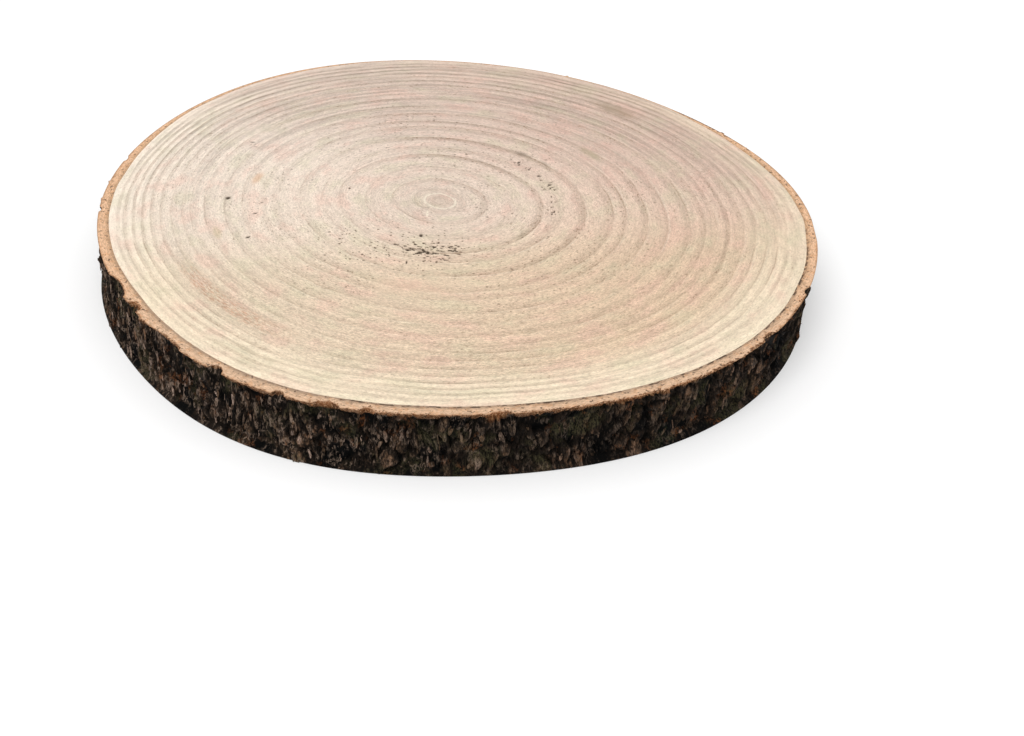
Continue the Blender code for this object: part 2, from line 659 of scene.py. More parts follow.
def line_distances():
    """Points of a saw-toothed curve: the distance to the nearest line, which is 0.5 on the line."""
    radii = [line[0] for line in RING_LINES]
    points = [(0.0, 0.5 - radii[0] * EDGE_SCALE)]
    for radius, following in zip(radii, radii[1:]):
        middle = (radius + following) / 2
        half_gap = (following - radius) / 2 * EDGE_SCALE
        points.append(((middle - EDGE_JUMP) / GROWTH_REACH, 0.5 + half_gap))
        points.append(((middle + EDGE_JUMP) / GROWTH_REACH, 0.5 - half_gap))
    return points + [(1.0, 0.5 + (GROWTH_REACH - radii[-1]) * EDGE_SCALE)]


def ring_circles():
    """The radii of the mesh's circles, close together only where the pits are."""
    radii = [0.0]
    while radii[-1] < GROWTH_REACH:
        among_pits = PIT_ZONE[0] < radii[-1] < PIT_ZONE[1]
        radii.append(min(GROWTH_REACH, radii[-1] + (PIT_CIRCLE_GAP if among_pits else CIRCLE_GAP)))
    return radii


print(len(RING_LINES), "ring lines, and", len(ring_circles()), "circles in the mesh")

# %% [markdown]
# ## Pits
#
# The saw opened small dark pits: a dense patch below the pith, a trail along one ring on the
# right, and some alone on the left. The larger ones are real dents in the mesh, which the paint
# darkens with painted shade, most where they are deepest. They are scattered by a seeded draw
# round a few stated places, so the result is the same each run.

# %% Scatter the pits
PIT_SEED = 11
PATCH_CENTRE = (-0.0078, -0.0290)
PATCH_SPREAD = (0.0064, 0.0032)
PATCH_COUNT = 96
PATCH_SIZES = (0.00030, 0.00072)
TWIN_CHANCE = 0.3
TWIN_SHIFT = 0.0011
TWIN_DROP = (0.0002, 0.0007)
TRAIL_RADIUS = 0.0450
TRAIL_TURNS = (-14, 52)
TRAIL_COUNT = 58
TRAIL_SPREAD = 0.0013
TRAIL_SIZES = (0.00028, 0.00052)
ARC_TURNS = (205, 300)
ARC_COUNT = 60
ARC_SPREAD = 0.0028
ARC_SIZES = (0.00024, 0.00036)
LONE_PITS = (
    (-0.1072, 0.0243, 0.0005),
    (-0.0922, 0.0233, 0.0005),
    (-0.0852, 0.0343, 0.0005),
    (-0.0752, 0.0133, 0.0007),
    (-0.0912, -0.0078, 0.0006),
    (-0.0420, 0.0195, 0.0006),
    (-0.0290, -0.0275, 0.0006),
    (0.0180, 0.0130, 0.0005),
    (-0.0835, 0.0560, 0.0005),
    (-0.0560, 0.0700, 0.0005),
)
LEFT_CENTRE = (-0.084, 0.014)
LEFT_SPREAD = (0.011, 0.022)
LEFT_COUNT = 30
LEFT_SIZES = (0.00030, 0.00050)


def pits_along_ring(draw, count, turns, spread, sizes):
    """Pits scattered along a ring round the pith, between two turns given in degrees."""
    pits = []
    for _ in range(count):
        turn = math.radians(draw.uniform(*turns))
        distance = TRAIL_RADIUS + draw.gauss(0, spread)
        x = PITH[0] + distance * math.cos(turn)
        y = PITH[1] + distance * math.sin(turn)
        pits.append((x, y, draw.uniform(*sizes)))
    return pits


def scatter_pits():
    """Each pit's place and radius on the upper cut face."""
    draw = random.Random(PIT_SEED)
    pits = list(LONE_PITS)
    for _ in range(PATCH_COUNT):
        x = PATCH_CENTRE[0] + draw.gauss(0, PATCH_SPREAD[0])
        y = PATCH_CENTRE[1] + draw.gauss(0, PATCH_SPREAD[1])
        radius = draw.uniform(*PATCH_SIZES)
        pits.append((x, y, radius))
        if draw.random() < TWIN_CHANCE:
            pits.append((x + TWIN_SHIFT, y - draw.uniform(*TWIN_DROP), radius * 0.9))
    pits += pits_along_ring(draw, TRAIL_COUNT, TRAIL_TURNS, TRAIL_SPREAD, TRAIL_SIZES)
    pits += pits_along_ring(draw, ARC_COUNT, ARC_TURNS, ARC_SPREAD, ARC_SIZES)
    for _ in range(LEFT_COUNT):
        x = LEFT_CENTRE[0] + draw.gauss(0, LEFT_SPREAD[0])
        y = LEFT_CENTRE[1] + draw.gauss(0, LEFT_SPREAD[1])
        pits.append((x, y, draw.uniform(*LEFT_SIZES)))
    return pits


def pit_finder(pits):
    tree = kdtree.KDTree(len(pits))
    for index, (x, y, _) in enumerate(pits):
        tree.insert((x, y, 0), index)
    tree.balance()
    return tree


UPPER_PITS = scatter_pits()
UPPER_PIT_TREE = pit_finder(UPPER_PITS)
WIDEST_PIT = max(radius for _, _, radius in UPPER_PITS)
PIT_LENGTH = 1.35
PIT_WIDTH = 0.95
PIT_DEPTH = 0.0007


def pit_at(place):
    """How deep in a pit a place is, from 0 outside to 1 at the bottom of the long dent."""
    deep = 0.0
    outward = Vector((place.x - PITH[0], place.y - PITH[1])).normalized()
    for centre, index, _ in UPPER_PIT_TREE.find_range((place.x, place.y, 0), WIDEST_PIT * PIT_LENGTH):
        away = Vector((place.x - centre.x, place.y - centre.y))
        across = away.dot(outward) / PIT_WIDTH
        along = (away - outward * away.dot(outward)).length / PIT_LENGTH
        share = math.hypot(across, along) / UPPER_PITS[index][2]
        deep = max(deep, 1 - share * share)
    return deep


print(len(UPPER_PITS), "pits")

# %% [markdown]
# ## The finish of the wood
#
# The cut face is pale and dull. It is mauve at the back, cream and lighter on the left, and a
# warmer yellow at the front, with a paler band of young wood inside the bark. The lighter left is
# the wood's own cream with painted light from that side in it. Two ways to paint that were open:
# an image, or sums on the place. Sums stay sharp and need no file. The rings come from the curve
# of brightness. Streaks and pores come from noise that is stretched along the rings, by giving it
# the place across the face and, as a third coordinate, the distance from the pith.

# %% Slow drift of colour
# The left colours are lighter than the right ones: the wood's cream, with painted light from the left
# in it.
WOOD_LEFT_REAR_LIT = (0.765, 0.654, 0.555)
WOOD_RIGHT_REAR = (0.630, 0.483, 0.398)
WOOD_LEFT_FRONT_LIT = (0.730, 0.608, 0.490)
WOOD_RIGHT_FRONT = (0.672, 0.480, 0.350)
WOOD_HEART = (0.662, 0.540, 0.446)
REAR_MAUVE = (0.500, 0.345, 0.275)
FRONT_GOLD = (0.580, 0.445, 0.280)
YOUNG_WOOD = (0.800, 0.672, 0.500)
YOUNG_LEFT_REAR = (0.850, 0.738, 0.612)
LEAST_YOUNG = 62


def towards(tree, x, y, degrees):
    """How far a place lies in this direction across the face."""
    turn = math.radians(degrees)
    along_x = times(tree, x, math.cos(turn))
    return plus(tree, along_x, times(tree, y, math.sin(turn)))


def wood_tint(tree, x, y, growth):
    """The wood's colour before any detail. Young wood is strong all round but at the back right."""
    # Lighter towards the left: the wood's own tone, with painted light from that side in it.
    right = step(tree, x, -0.100, 0.100)
    front = step(tree, y, 0.095, -0.095)
    rear_tint = blended(tree, right, WOOD_LEFT_REAR_LIT, WOOD_RIGHT_REAR)
    front_tint = blended(tree, right, WOOD_LEFT_FRONT_LIT, WOOD_RIGHT_FRONT)
    tint = blended(tree, front, rear_tint, front_tint)
    tint = blended(tree, step(tree, growth, 0.060, 0.010, 0.0, 0.8), tint, WOOD_HEART)
    mauve = step(tree, towards(tree, x, y, 75), 0.015, 0.085, 0.0, 0.38)
    tint = blended(tree, mauve, tint, REAR_MAUVE)
    gold = step(tree, towards(tree, x, y, 276), 0.000, 0.050, 0.0, 0.42)
    tint = blended(tree, gold, tint, FRONT_GOLD)
    young = step(tree, growth, 0.1080, 0.1290)
    youth = step(tree, towards(tree, x, y, LEAST_YOUNG), 0.085, -0.015, 0.10, 0.90)
    left_rear = step(tree, towards(tree, x, y, 150), 0.060, 0.120)
    young_tint = blended(tree, left_rear, YOUNG_WOOD, YOUNG_LEFT_REAR)
    tint = blended(tree, times(tree, young, youth), tint, young_tint)
    at_right = step(tree, x, 0.050, 0.110, 0.0, 0.40)
    youngest = times(tree, step(tree, growth, 0.1262, 0.1290), at_right)
    return blended(tree, youngest, tint, YOUNG_WOOD)


print("Young wood is weakest towards", LEAST_YOUNG, "degrees")

# %% Rings in the paint
RING_LINE_COLOUR = (0.330, 0.225, 0.150)
PALE_RING = (0.86, 0.78, 0.62)
PITH_RING_RADIUS = 0.0060
PITH_RING_WIDTH = 0.0008
CRACK_PLACE = (-0.0099, -0.0015)
CRACK_SIZE = (0.0038, 0.0006)
RED_BAND_RADIUS = 0.1115
RED_BAND_TURN = 219
RED_BAND_COLOUR = (0.480, 0.275, 0.180)
SLOW_WANDER = 0.0030
QUICK_WANDER = 0.0005
DARK_EDGE_OFFSET = 0.0006
DARK_EDGE_WIDTH = 0.00045
PALE_EDGE_OFFSET = 0.0016
PALE_EDGE_WIDTH = 0.00060


def wandering(tree, place, growth):
    """The rings' distance from the pith as a share of the whole, wandering in and out along them."""
    slow = times(tree, speckle(tree, place, 22, 2), SLOW_WANDER)
    quick = times(tree, speckle(tree, place, 150, 2), QUICK_WANDER)
    middle = (SLOW_WANDER + QUICK_WANDER) / 2
    wander = minus(tree, plus(tree, slow, quick), middle)
    return sums(tree, "DIVIDE", plus(tree, growth, wander), GROWTH_REACH)


def ring_tone(tree, place, x, y, share):
    """The rings' brightness: below 0 in a dark line, above 0 beside it, strongest at the back."""
    right = curve_through(tree, share, ring_tones(1))
    left = curve_through(tree, share, ring_tones(2))
    sided = step(tree, towards(tree, x, y, 20), -0.040, 0.045)
    mixed = plus(tree, left, times(tree, minus(tree, right, left), sided))
    uneven = step(tree, speckle(tree, place, 30, 2), 0.34, 0.64, 1.1, 2.2)
    rear = step(tree, y, 0.040, 0.100, 1.0, 1.80)
    return times(tree, minus(tree, mixed, 0.5), times(tree, uneven, rear))


def ring_edge(tree, place, share, offset, width):
    """A thin line beside each ring line, which comes and goes along the ring."""
    saw = curve_through(tree, share, line_distances(), "VECTOR")
    distance = sums(tree, "DIVIDE", minus(tree, saw, 0.5), EDGE_SCALE)
    away = sums(tree, "ABSOLUTE", minus(tree, distance, offset))
    seen = step(tree, speckle(tree, place, 55, 2), 0.40, 0.62, 0.10, 1.0)
    return times(tree, step(tree, away, width, width * 0.2), seen)


def add_rings(tree, place, share, tone, tint):
    """Dark lines, pale borders, and a crisp edge on the outer side of the stronger lines."""
    line = sums(tree, "MAXIMUM", times(tree, tone, -0.42), 0.0)
    tint = blended(tree, line, tint, RING_LINE_COLOUR)
    tint = shaded(tree, tint, sums(tree, "MULTIPLY_ADD", tone, 0.10, 1.0))
    dark_edge = ring_edge(tree, place, share, DARK_EDGE_OFFSET, DARK_EDGE_WIDTH)
    dark_edge = times(tree, dark_edge, step(tree, tone, 0.0, -0.45, 0.10, 0.55))
    pale_edge = ring_edge(tree, place, share, PALE_EDGE_OFFSET, PALE_EDGE_WIDTH)
    pale_edge = times(tree, pale_edge, step(tree, tone, 0.2, -0.40, 0.10, 0.32))
    return blended(tree, pale_edge, blended(tree, dark_edge, tint, RING_LINE_COLOUR), PALE_RING)


def fine_rings(tree, x, y, growth):
    """Faint thin rings between the lines, strongest near the bark."""
    long_grain = joined(tree, x, y, times(tree, growth, 30.0))
    fine = step(tree, speckle(tree, long_grain, 18, 4, 0.65), 0.42, 0.66)
    fine = times(tree, fine, step(tree, y, 0.000, 0.080, 1.0, 2.0))
    return times(tree, fine, step(tree, growth, 0.050, 0.120, 0.6, 1.3))


def oval_distance(tree, place, centre, turn, size):
    """The distance from a long oval's middle, which is 1 on its edge."""
    node = tree.nodes.new("ShaderNodeMapping")
    node.vector_type = "TEXTURE"
    tree.links.new(place, node.inputs["Vector"])
    node.inputs["Location"].default_value = (centre[0], centre[1], THICKNESS)
    node.inputs["Rotation"].default_value = (0, 0, turn)
    node.inputs["Scale"].default_value = (size[0], size[1], 0.01)
    length = tree.nodes.new("ShaderNodeVectorMath")
    length.operation = "LENGTH"
    tree.links.new(node.outputs[0], length.inputs[0])
    return length.outputs["Value"]


def add_pith_ring(tree, place, growth, tint):
    """The heart is a little darker, inside a thin pale ring, with one short pale crack below it."""
    tint = shaded(tree, tint, step(tree, growth, 0.006, 0.020, 0.95, 1.0))
    tint = blended(tree, step(tree, growth, 0.0058, 0.0050, 0.0, 0.16), tint, RING_LINE_COLOUR)
    away = sums(tree, "ABSOLUTE", minus(tree, growth, PITH_RING_RADIUS))
    share = step(tree, away, PITH_RING_WIDTH, PITH_RING_WIDTH * 0.1, 0.0, 0.54)
    away_from_crack = oval_distance(tree, place, CRACK_PLACE, math.pi / 2, CRACK_SIZE)
    crack = step(tree, away_from_crack, 1.0, 0.3, 0.0, 0.6)
    return blended(tree, sums(tree, "MAXIMUM", share, crack), tint, PALE_RING)


def add_red_band(tree, x, y, growth, streak, tint):
    """A band of reddish wood at the front left, made of short streaks."""
    away = sums(tree, "ABSOLUTE", minus(tree, growth, RED_BAND_RADIUS))
    sideways = sums(tree, "ABSOLUTE", towards(tree, x, y, RED_BAND_TURN + 90))
    inward = step(tree, towards(tree, x, y, RED_BAND_TURN), 0, 0.06)
    arc = times(tree, step(tree, sideways, 0.044, 0.014), inward)
    share = times(tree, step(tree, away, 0.0050, 0.0016), arc)
    share = times(tree, share, step(tree, streak, 0.44, 0.62, 0.10, 0.85))
    return blended(tree, share, tint, RED_BAND_COLOUR)


print("The pale ring round the pith is", round(2000 * PITH_RING_RADIUS), "mm across")

# %% Pores, stains and specks
PINK_WOOD = (0.720, 0.430, 0.350)
GREEN_WOOD = (0.530, 0.520, 0.340)
PORE_COLOUR = (0.230, 0.140, 0.085)
SPECK_COLOUR = (0.125, 0.080, 0.048)
# The pits' colour is painted shade inside the dents.
PIT_SHADE = (0.050, 0.031, 0.016)
SPECK_PLACE = (-0.020, -0.027)
SPECK_TURN = math.radians(-8)
SPECK_REACH = (0.060, 0.032)
STAINS = (
    (0.0680, 0.0890, 0.0070, (0.300, 0.220, 0.140), 0.55),
    (0.0560, 0.0490, 0.0040, (0.330, 0.280, 0.160), 0.45),
    (-0.0800, 0.0280, 0.0032, (0.640, 0.360, 0.200), 0.50),
    (-0.0910, -0.0165, 0.0030, (0.420, 0.360, 0.180), 0.40),
    (-0.0150, -0.0560, 0.0100, (0.700, 0.460, 0.330), 0.20),
    (0.0285, 0.0480, 0.0024, (0.210, 0.160, 0.115), 0.60),
    (0.0370, 0.0400, 0.0018, (0.250, 0.190, 0.140), 0.50),
)


def add_stains(tree, place, tint):
    """Small soft marks, each long along the ring that it lies on, with a ragged edge."""
    ragged = speckle(tree, place, 220, 3)
    for x, y, radius, colour, strength in STAINS:
        turn = math.atan2(y - PITH[1], x - PITH[0])
        away = oval_distance(tree, place, (x, y), turn, (radius * 0.6, radius * 1.7))
        soft_edge = step(tree, plus(tree, away, ragged), 1.9, 0.8, 0.0, strength)
        tint = blended(tree, soft_edge, tint, colour)
    return tint


def add_hues(tree, x, y, growth, tint):
    """Pink and green patches, long along the rings."""
    hue = speckle(tree, joined(tree, x, y, times(tree, growth, 1.6)), 62, 3, 0.55)
    tint = blended(tree, step(tree, hue, 0.50, 0.68, 0.0, 0.30), tint, PINK_WOOD)
    return blended(tree, step(tree, hue, 0.50, 0.30, 0.0, 0.28), tint, GREEN_WOOD)


def add_pores(tree, place, grain, tone, calm, tint):
    """Fine dark pores in rows, most in the dark lines and in some patches."""
    patches = step(tree, speckle(tree, place, 34, 2), 0.38, 0.62, 0.15, 0.60)
    zone = sums(tree, "MAXIMUM", patches, step(tree, tone, -0.05, -0.5, 0.0, 1.0))
    pores = step(tree, speckle(tree, grain, 620, 2, 0.6), 0.58, 0.67, 0.0, 0.80)
    share = times(tree, times(tree, pores, zone), calm)
    return blended(tree, share, tint, PORE_COLOUR)


def add_specks(tree, place, x, y, growth, tint):
    """Tiny dark specks over the older wood, thickest round the patch of pits."""
    flat = joined(tree, x, y, 0.0)
    older = step(tree, growth, 0.112, 0.070, 0.10, 0.62)
    patchy = times(tree, older, step(tree, speckle(tree, place, 24, 2), 0.42, 0.58, 0.0, 1.0))
    near = step(tree, oval_distance(tree, place, SPECK_PLACE, SPECK_TURN, SPECK_REACH), 1.0, 0.3)
    larger = spots(tree, flat, 210, 0.15, 0.13, 0.95)
    smaller = spots(tree, flat, 430, 0.22, 0.28, 0.80)
    specks = sums(tree, "MAXIMUM", larger, smaller)
    share = times(tree, specks, sums(tree, "MAXIMUM", patchy, near))
    return blended(tree, share, tint, SPECK_COLOUR)


print(len(STAINS), "stains")

# %% Wood finish
GRAIN_CONTRAST = 1.55
FRONT_GRAIN = 0.50


def calm_sides(tree, x, y):
    """How strong the grain is: weaker at the left, the right and the back than elsewhere."""
    sides = step(tree, sums(tree, "ABSOLUTE", x), 0.030, 0.100, 1.0, 0.78)
    return times(tree, sides, step(tree, y, 0.020, 0.090, 1.0, 0.75))


def wood_finish():
    material, tree, shader = new_finish("sawn_wood", 0.62, 0.25)
    place = object_place(tree)
    x, y, _ = split(tree, place)
    growth = stored(tree, "growth")
    share = wandering(tree, place, growth)
    short_grain = joined(tree, x, y, times(tree, growth, 2.2))
    blotch = speckle(tree, short_grain, 190, 3, 0.6)
    fleck = speckle(tree, short_grain, 760, 4, 0.85)
    streak = speckle(tree, joined(tree, x, y, times(tree, growth, 7.0)), 300, 3, 0.7)
    calm = step(tree, growth, 0.110, 0.127, 1.0, 0.55)
    tone = ring_tone(tree, place, x, y, share)
    tint = wood_tint(tree, x, y, growth)
    tint = add_hues(tree, x, y, growth, tint)
    tint = add_rings(tree, place, share, tone, tint)
    tint = shaded(tree, tint, sums(tree, "MULTIPLY_ADD", fine_rings(tree, x, y, growth), -0.10, 1.04))
    tint = add_red_band(tree, x, y, growth, streak, tint)
    contrast = plus(tree, GRAIN_CONTRAST, step(tree, y, -0.020, -0.090, 0.0, FRONT_GRAIN))
    contrast = times(tree, contrast, times(tree, calm, calm_sides(tree, x, y)))
    grain = times(tree, minus(tree, fleck, 0.5), contrast)
    tint = shaded(tree, tint, plus(tree, grain, 1.0))
    tint = shaded(tree, tint, step(tree, streak, 0.30, 0.70, 0.95, 1.05))
    tint = shaded(tree, tint, step(tree, blotch, 0.30, 0.70, 0.94, 1.06))
    tint = add_pith_ring(tree, place, growth, tint)
    tint = add_pores(tree, place, short_grain, tone, calm, tint)
    tint = add_specks(tree, place, x, y, growth, tint)
    tint = add_stains(tree, place, tint)
    # The pits are painted nearly black, darkest at the bottom of each dent: painted shade inside the
    # pits.
    ragged = times(tree, minus(tree, fleck, 0.5), 0.8)
    pit = step(tree, plus(tree, stored(tree, "pit"), ragged), 0.10, 0.70, 0.0, 0.95)
    tint = blended(tree, pit, tint, PIT_SHADE)
    tree.links.new(tint, shader.inputs["Base Color"])
    tree.links.new(step(tree, fleck, 0.3, 0.7, 0.56, 0.76), shader.inputs["Roughness"])
    bump(tree, shader, plus(tree, fleck, times(tree, tone, 0.5)), 0.00010)
    return material


SAWN_WOOD = wood_finish()
print("Wood finish has", len(SAWN_WOOD.node_tree.nodes), "nodes")

# %% [markdown]
# ## The two cut faces
#
# Each is a disc, a grid rolled up so that its first row closes into the pith. Its edge is turned
# in by a millimetre, so that it tucks under the inner bark with no gap. The dents and the faint
# ridges of the saw only ever go into the wood, so the face stays inside the solid.

# %% Roll up the cut faces
TUCK = 0.0012
TUCK_OUT = 0.0004
SAW_RIDGE = 0.00004
SAW_STROKES = (90, 700)
SAW_SEED = 3


def wood_face(name, height, inward, pits):
    """A cut face at this height, whose surface sinks along the inward direction of Z."""
    profile = [(radius, 0) for radius in ring_circles()]
    profile.append((GROWTH_REACH + TUCK, 0))
    bm = rolled(profile, WOOD_STEPS, closed=False)
    growth_layer, pit_layer = number_layers(bm, "growth", "pit")
    turns = [number * math.tau / WOOD_STEPS for number in range(WOOD_STEPS)]
    reaches = [reach_from_pith(turn, height) for turn in turns]
    pith = pith_at(height)
    for vert in bm.verts:
        growth = math.hypot(vert.co.x, vert.co.y)
        turn = math.atan2(vert.co.y, vert.co.x) % math.tau
        reach = reaches[round(turn / math.tau * WOOD_STEPS) % WOOD_STEPS]
        tucked = growth > GROWTH_REACH + TUCK / 2
        inside = min(growth, GROWTH_REACH)
        distance = ring_distance(turn, inside, reach) if growth > 0 else 0.0
        distance += TUCK_OUT if tucked else 0.0
        place = pith + Vector((math.cos(turn), math.sin(turn), 0)) * distance
        pit = pit_at(place) if pits and growth < GROWTH_REACH else 0.0
        strokes = Vector((place.x * SAW_STROKES[0], place.y * SAW_STROKES[1], SAW_SEED))
        saw = SAW_RIDGE * (1 + noise.noise(strokes))
        sink = TUCK if tucked else saw + PIT_DEPTH * pit
        vert.co = place + Vector((0, 0, inward * sink))
        vert[growth_layer] = inside
        vert[pit_layer] = pit
    bmesh.ops.recalc_face_normals(bm, faces=bm.faces)
    if sum(face.normal.z for face in bm.faces) * inward > 0:
        bmesh.ops.reverse_faces(bm, faces=bm.faces)
    return finished_piece(bm, name, SAWN_WOOD)


wood_face("upper_cut", THICKNESS, -1, pits=True)
wood_face("lower_cut", 0, 1, pits=False)

# %% [markdown]
# ## The rim
#
# Where the saw passed through the bark, three edges run round the slice. The inner one is the
# cambium, a thin brown line with dark dashes. The outer one is the wall's own ragged edge. Between
# them the tan inner bark meets the dark outer bark along a torn line. The dark edge is a
# millimetre wide at most, and on the left, the right and most of the back it vanishes. Both barks
# are rolled up with the same number of steps, so their shared edge has the same points.

# %% Edges round the rim
RIM_STEPS = 1800
UPPER_DARK_EDGE = 0.00002
LOWER_DARK_EDGE = 0.00120
LEAST_TAN = 0.0004
DARK_EDGES = (
    (0, 0.0),
    (26, 0.0),
    (32, 0.0006),
    (41, 0.0005),
    (46, 0.0),
    (194, 0.0),
    (204, 0.0007),
    (236, 0.0006),
    (270, 0.0005),
    (300, 0.0008),
    (318, 0.0012),
    (331, 0.0006),
    (339, 0.0),
)


def wall_radius(turn, height):
    return outline_at(turn, height) + relief_at(turn, height)[0]


def tan_edge_radius(turn, height, least_dark):
    """The radius where tan inner bark meets dark outer bark on a cut face."""
    place = Vector((math.cos(turn), math.sin(turn), height)) * TOP_RADIUS
    ragged = 0.50 + 0.8 * noise.noise(place / 0.0050) + 1.2 * noise.noise(place / 0.0013)
    dark = least_dark + along_rim(DARK_EDGES, turn) * max(0.0, ragged)
    return max(cambium_radius(turn, height) + LEAST_TAN, wall_radius(turn, height) - dark)


RIM_TURNS = [number * math.tau / RIM_STEPS for number in range(RIM_STEPS)]
UPPER_TAN_EDGE = [tan_edge_radius(turn, THICKNESS, UPPER_DARK_EDGE) for turn in RIM_TURNS]
LOWER_TAN_EDGE = [tan_edge_radius(turn, 0, LOWER_DARK_EDGE) for turn in RIM_TURNS]


def rim_number(vert):
    """Which of the rim's steps a vertex of a rolled grid belongs to."""
    turn = math.atan2(vert.co.y, vert.co.x) % math.tau
    return round(turn / math.tau * RIM_STEPS) % RIM_STEPS


print("Tan edge worked out at", len(RIM_TURNS), "turns")

# %% [markdown]
# ## The finish of the inner bark
#
# Fresh inner bark is orange-tan and fibrous. It is deepest next to the wood and palest further
# out, pinker at the front, greyer along the cambium, and rusty at its torn outer edge. The stored
# share runs from 0 at the wood to 1 at that edge.

# %% Inner bark finish
TAN_DEEP = (0.560, 0.345, 0.200)
TAN_PALE = (0.730, 0.460, 0.285)
FRONT_DEEP = (0.440, 0.300, 0.200)
FRONT_PALE = (0.650, 0.435, 0.285)
CAMBIUM = (0.300, 0.215, 0.150)
FIBRE_ORANGE = (0.580, 0.270, 0.110)
RUST = (0.330, 0.140, 0.050)
DARK_FLECK = (0.075, 0.045, 0.028)


def inner_bark_tint(tree, y, outward, patch):
    """From deep next to the wood to pale further out, and rusty at the torn edge."""
    front = step(tree, y, -0.030, -0.100)
    paler = plus(tree, outward, times(tree, minus(tree, patch, 0.5), 1.2))
    deep = blended(tree, front, TAN_DEEP, FRONT_DEEP)
    pale = blended(tree, front, TAN_PALE, FRONT_PALE)
    tint = blended(tree, step(tree, paler, 0.05, 0.60), deep, pale)
    torn = plus(tree, outward, times(tree, patch, 0.5))
    rusty = step(tree, torn, 1.05, 1.32, 0.0, 0.70)
    return blended(tree, rusty, tint, RUST)


def add_cambium(tree, x, y, outward, streaks, tint):
    """The brown line next to the wood, with dark dashes, clearest at the front."""
    near = step(tree, outward, 0.30, 0.10)
    in_front = step(tree, y, 0.020, -0.070, 0.12, 0.50)
    from_left = step(tree, x, 0.000, 0.070, 1.0, 0.40)
    sided = times(tree, in_front, from_left)
    tint = blended(tree, times(tree, near, sided), tint, CAMBIUM)
    dashed = step(tree, towards(tree, x, y, 300), 0.050, 0.115, 0.10, 1.0)
    dashes = times(tree, step(tree, streaks, 0.50, 0.55, 0.0, 0.95), dashed)
    return blended(tree, times(tree, near, dashes), tint, DARK_FLECK)


def inner_bark_finish():
    material, tree, shader = new_finish("tan_inner_bark", 0.75, 0.15)
    place = object_place(tree)
    x, y, _ = split(tree, place)
    outward = stored(tree, "outward")
    streak_place = joined(tree, x, y, times(tree, stored(tree, "depth"), 3.0))
    fibre = speckle(tree, streak_place, 620, 4, 0.8)
    patch = speckle(tree, place, 150, 4)
    tint = inner_bark_tint(tree, y, outward, patch)
    orange = step(tree, speckle(tree, place, 380, 3, 0.7), 0.50, 0.66, 0.0, 0.38)
    tint = blended(tree, orange, tint, FIBRE_ORANGE)
    tint = shaded(tree, tint, step(tree, fibre, 0.30, 0.68, 0.66, 1.30))
    tint = add_cambium(tree, x, y, outward, speckle(tree, streak_place, 330, 3, 0.6), tint)
    specks = step(tree, speckle(tree, place, 560, 3, 0.6), 0.59, 0.65, 0.0, 0.80)
    tint = blended(tree, specks, tint, DARK_FLECK)
    tree.links.new(tint, shader.inputs["Base Color"])
    bump(tree, shader, fibre, 0.00030)
    return material


TAN_BARK = inner_bark_finish()
print("Inner bark finish has", len(TAN_BARK.node_tree.nodes), "nodes")

# %% [markdown]
# ## The inner bark
#
# It shows as a narrow band on each cut face, so one closed ring is rolled up for each. The ring's
# profile is a thin rectangle with its visible side cut into columns, which carry the crumbling of
# the fibres.

# %% Roll up the inner bark
TAN_COLUMNS = 12
TAN_THICKNESS = 0.0007
TAN_DRAWN_WIDTH = 0.006
TUCKED_START = 0.0003
TUCKED_SLOPE = 0.0014
CRUMBLE = 0.00018


def inner_bark_ring(name, height, inward, tan_edge):
    inner = TOP_RADIUS - TAN_DRAWN_WIDTH
    shown = [(inner + TAN_DRAWN_WIDTH * column / TAN_COLUMNS, 0) for column in range(TAN_COLUMNS + 1)]
    hidden = [(TOP_RADIUS, -TAN_THICKNESS), (inner, -TAN_THICKNESS)]
    bm = rolled(shown + hidden, RIM_STEPS, closed=True)
    outward_layer, depth_layer = number_layers(bm, "outward", "depth")
    for vert in bm.verts:
        number = rim_number(vert)
        turn = RIM_TURNS[number]
        share = (math.hypot(vert.co.x, vert.co.y) - inner) / TAN_DRAWN_WIDTH
        buried = vert.co.z < -TAN_THICKNESS / 2
        start = cambium_radius(turn, height)
        radius = start + (tan_edge[number] - start) * share
        if buried:
            radius += TUCKED_START - TUCKED_SLOPE * share
        place = rim_point(turn, radius, height)
        rough = 0.5 + 0.5 * noise.noise(place / 0.0011) + 0.4 * noise.noise(place / 0.0035)
        sink = TAN_THICKNESS if buried else CRUMBLE * max(0.0, rough) * (0.5 + share)
        vert.co = place + Vector((0, 0, inward * sink))
        vert[outward_layer] = share
        vert[depth_layer] = radius - start
    bmesh.ops.recalc_face_normals(bm, faces=bm.faces)
    return finished_piece(bm, name, TAN_BARK)


inner_bark_ring("upper_inner_bark", THICKNESS, -1, UPPER_TAN_EDGE)
inner_bark_ring("lower_inner_bark", 0, 1, LOWER_TAN_EDGE)

# %% [markdown]
# ## The finish of the outer bark
#
# The bark is nearly black in its fissures, its own dark colour deepened there by painted shade,
# and dark brown on its plates. Flakes differ in colour: some are grey and faintly lilac, and on the
# left the open flakes and pale fibre strokes are brightened as painted highlight; some are olive
# where algae grow.
# Rust shows where a scale fell off. Along the upper edge the torn bark is amber. The mesh
# stores how open the surface is, the draws of each scale and each flake, and how amber and how
# torn the place is.

